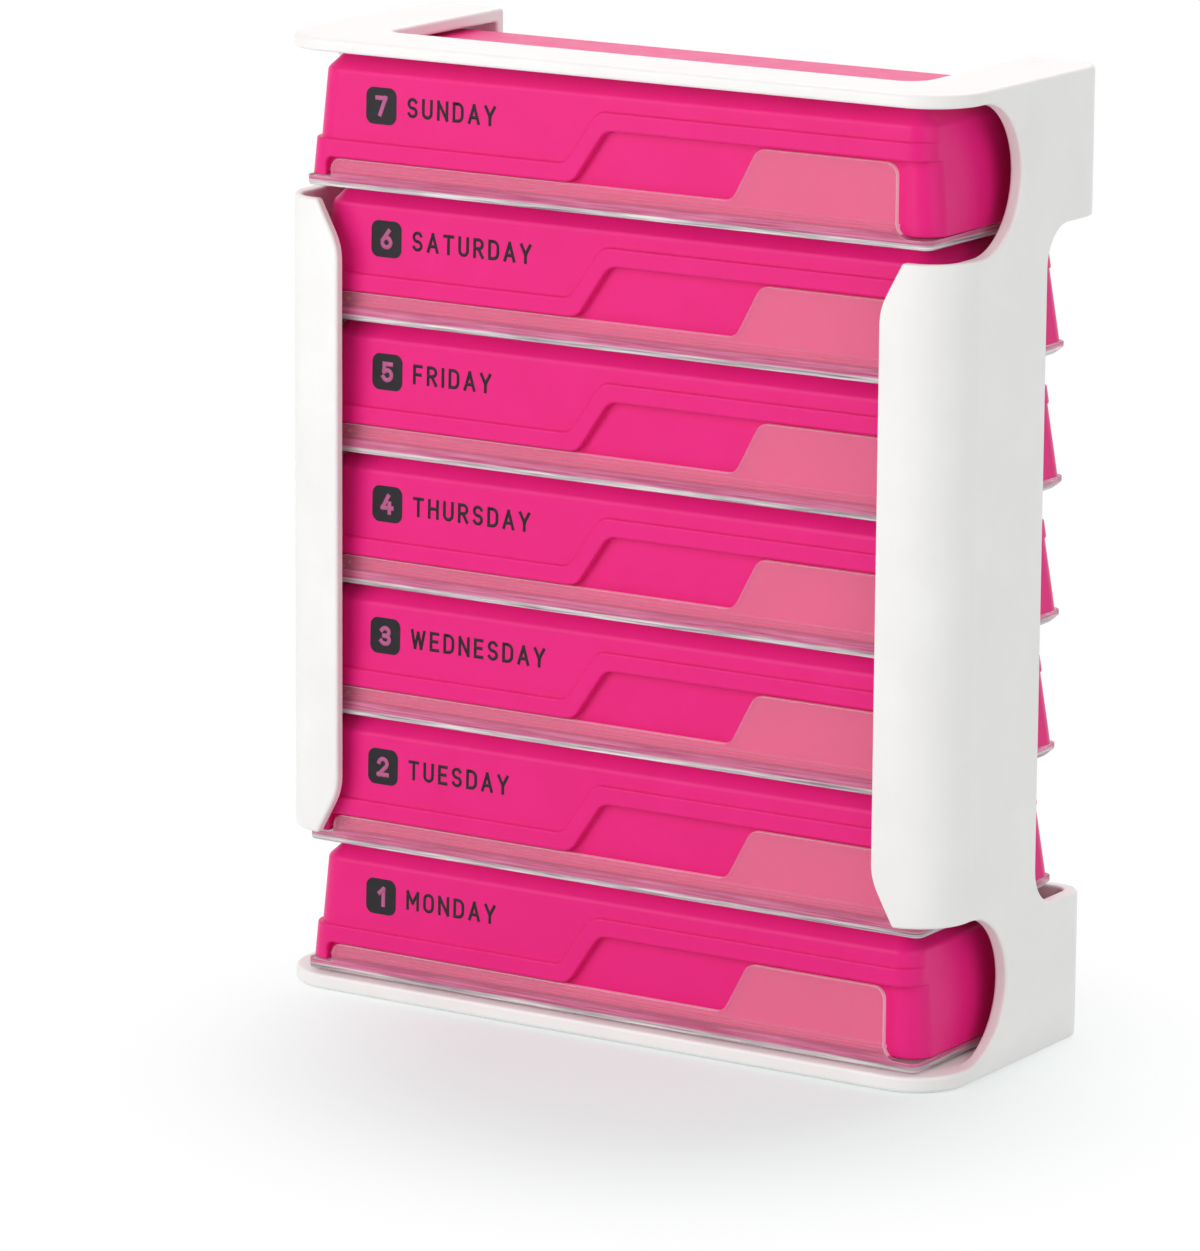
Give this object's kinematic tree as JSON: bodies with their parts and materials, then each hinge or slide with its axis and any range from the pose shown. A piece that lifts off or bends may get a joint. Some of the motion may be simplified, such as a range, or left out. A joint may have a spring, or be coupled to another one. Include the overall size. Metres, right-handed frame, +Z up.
{
  "type": "weekly pill dispenser",
  "caption": "Weekly pill dispenser: day boxes with clear slide lids and compartments for the times of day, stacked in an open rack they slide out of.",
  "frame": {"origin": "middle of the underside of the foot", "axes": "+Z up along the stack of boxes, -Y towards the front, where the day names are, +X to the right seen from the front"},
  "size_m": [0.136, 0.0514, 0.17],
  "materials": {
    "white_rack": "moulded satin white",
    "magenta_tray": "moulded semi-gloss magenta",
    "clear_lid": "clear polished"
  },
  "bodies": {
    "rack": {"rack": "white_rack"},
    "monday_box": {"monday_tray": "magenta_tray"},
    "monday_slide_lid": {"monday_lid": "clear_lid"},
    "tuesday_box": {"tuesday_tray": "magenta_tray"},
    "tuesday_slide_lid": {"tuesday_lid": "clear_lid"},
    "wednesday_box": {"wednesday_tray": "magenta_tray"},
    "wednesday_slide_lid": {"wednesday_lid": "clear_lid"},
    "thursday_box": {"thursday_tray": "magenta_tray"},
    "thursday_slide_lid": {"thursday_lid": "clear_lid"},
    "friday_box": {"friday_tray": "magenta_tray"},
    "friday_slide_lid": {"friday_lid": "clear_lid"},
    "saturday_box": {"saturday_tray": "magenta_tray"},
    "saturday_slide_lid": {"saturday_lid": "clear_lid"},
    "sunday_box": {"sunday_tray": "magenta_tray"},
    "sunday_slide_lid": {"sunday_lid": "clear_lid"}
  },
  "joints": [
    {"name": "monday_box_slide", "type": "slide", "parent": "rack", "child": "monday_box", "axis": [0, -1, 0], "range_m": [0, 0.06]},
    {"name": "monday_lid_slide", "type": "slide", "parent": "monday_box", "child": "monday_slide_lid", "axis": [1, 0, 0], "range_m": [0, 0.002]},
    {"name": "tuesday_box_slide", "type": "slide", "parent": "rack", "child": "tuesday_box", "axis": [0, 1, 0], "range_m": [-0.0006, 0.06]},
    {"name": "tuesday_lid_slide", "type": "slide", "parent": "tuesday_box", "child": "tuesday_slide_lid", "axis": [1, 0, 0], "range_m": [0, 0.002]},
    {"name": "wednesday_box_slide", "type": "slide", "parent": "rack", "child": "wednesday_box", "axis": [0, 1, 0], "range_m": [-0.0013, 0.06]},
    {"name": "wednesday_lid_slide", "type": "slide", "parent": "wednesday_box", "child": "wednesday_slide_lid", "axis": [1, 0, 0], "range_m": [0, 0.002]},
    {"name": "thursday_box_slide", "type": "slide", "parent": "rack", "child": "thursday_box", "axis": [0, 1, 0], "range_m": [-0.0019, 0.06]},
    {"name": "thursday_lid_slide", "type": "slide", "parent": "thursday_box", "child": "thursday_slide_lid", "axis": [1, 0, 0], "range_m": [0, 0.002]},
    {"name": "friday_box_slide", "type": "slide", "parent": "rack", "child": "friday_box", "axis": [0, 1, 0], "range_m": [-0.0019, 0.06]},
    {"name": "friday_lid_slide", "type": "slide", "parent": "friday_box", "child": "friday_slide_lid", "axis": [1, 0, 0], "range_m": [0, 0.002]},
    {"name": "saturday_box_slide", "type": "slide", "parent": "rack", "child": "saturday_box", "axis": [0, 1, 0], "range_m": [-0.0016, 0.06]},
    {"name": "saturday_lid_slide", "type": "slide", "parent": "saturday_box", "child": "saturday_slide_lid", "axis": [1, 0, 0], "range_m": [0, 0.002]},
    {"name": "sunday_box_slide", "type": "slide", "parent": "rack", "child": "sunday_box", "axis": [0, -1, 0], "range_m": [0, 0.06]},
    {"name": "sunday_lid_slide", "type": "slide", "parent": "sunday_box", "child": "sunday_slide_lid", "axis": [1, 0, 0], "range_m": [0, 0.002]}
  ]
}
